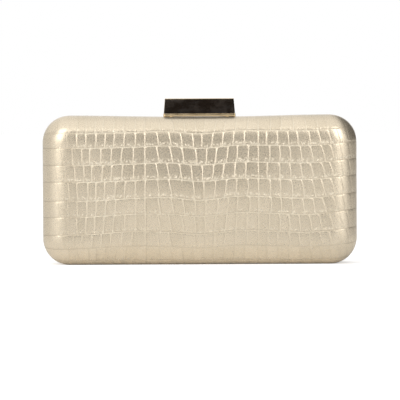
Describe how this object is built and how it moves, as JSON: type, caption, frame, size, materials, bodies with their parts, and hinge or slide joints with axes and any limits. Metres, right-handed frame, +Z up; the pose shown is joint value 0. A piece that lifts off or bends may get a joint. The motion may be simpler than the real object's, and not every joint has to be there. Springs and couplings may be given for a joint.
{
  "type": "clutch bag",
  "caption": "Hard box clutch bag in embossed metallic leatherette: two lined half shells hinged along the bottom edge, held shut by a sprung bar clasp on top.",
  "frame": {"origin": "middle of the bottom edge, in the plane where the two halves meet, on the surface that the bag stands on", "axes": "+X along the width to the right as seen from the front, -Y to the front, +Z up through the clasp"},
  "size_m": [0.2, 0.048, 0.1056],
  "materials": {
    "leatherette": "satin metallic champagne gold, crocodile embossed",
    "moulded_shell": "moulded",
    "gold_metal": "polished light gold plating",
    "lining_satin": "satin weave",
    "dark_face": "high gloss, near black",
    "spring_steel": "bright"
  },
  "bodies": {
    "rear_half": {"rear_cover": "leatherette", "rear_shell": "moulded_shell", "rear_frame": "gold_metal", "rear_lining": "lining_satin", "slip_pocket": "lining_satin", "hinge_leaf_rear_left": "gold_metal", "hinge_leaf_rear_right": "gold_metal", "hinge_rivet_rear_left_1": "gold_metal", "hinge_rivet_rear_left_2": "gold_metal", "hinge_rivet_rear_right_1": "gold_metal", "hinge_rivet_rear_right_2": "gold_metal", "hinge_pin_left": "gold_metal", "hinge_pin_right": "gold_metal", "clasp_base": "gold_metal", "clasp_base_rivet_left": "gold_metal", "clasp_base_rivet_right": "gold_metal", "clasp_pin": "gold_metal", "clasp_spring": "spring_steel", "gusset_left": "lining_satin", "gusset_right": "lining_satin"},
    "front_half": {"front_cover": "leatherette", "front_shell": "moulded_shell", "front_frame": "gold_metal", "front_lining": "lining_satin", "hinge_leaf_front_left": "gold_metal", "hinge_leaf_front_right": "gold_metal", "hinge_rivet_front_left_1": "gold_metal", "hinge_rivet_front_left_2": "gold_metal", "hinge_rivet_front_right_1": "gold_metal", "hinge_rivet_front_right_2": "gold_metal", "strike_plate": "gold_metal", "strike_rivet_left": "gold_metal", "strike_rivet_right": "gold_metal"},
    "clasp_lever": {"clasp_bar": "gold_metal", "clasp_face_plate": "dark_face", "clasp_hook": "spring_steel", "clasp_hook_screw": "spring_steel"}
  },
  "joints": [
    {"name": "front_half_hinge", "type": "hinge", "parent": "rear_half", "child": "front_half", "pos_m": [0, 0, 0.0014], "axis": [1, 0, 0], "range_deg": [0, 60], "deforming": ["gusset_left", "gusset_right"]},
    {"name": "clasp_pivot", "type": "hinge", "parent": "rear_half", "child": "clasp_lever", "pos_m": [0, 0.0028, 0.09948], "axis": [-1, 0, 0], "range_deg": [0, 20], "stiffness_Nm_per_rad": 0.03, "springref_deg": -22.92, "deforming": ["clasp_spring"]}
  ]
}
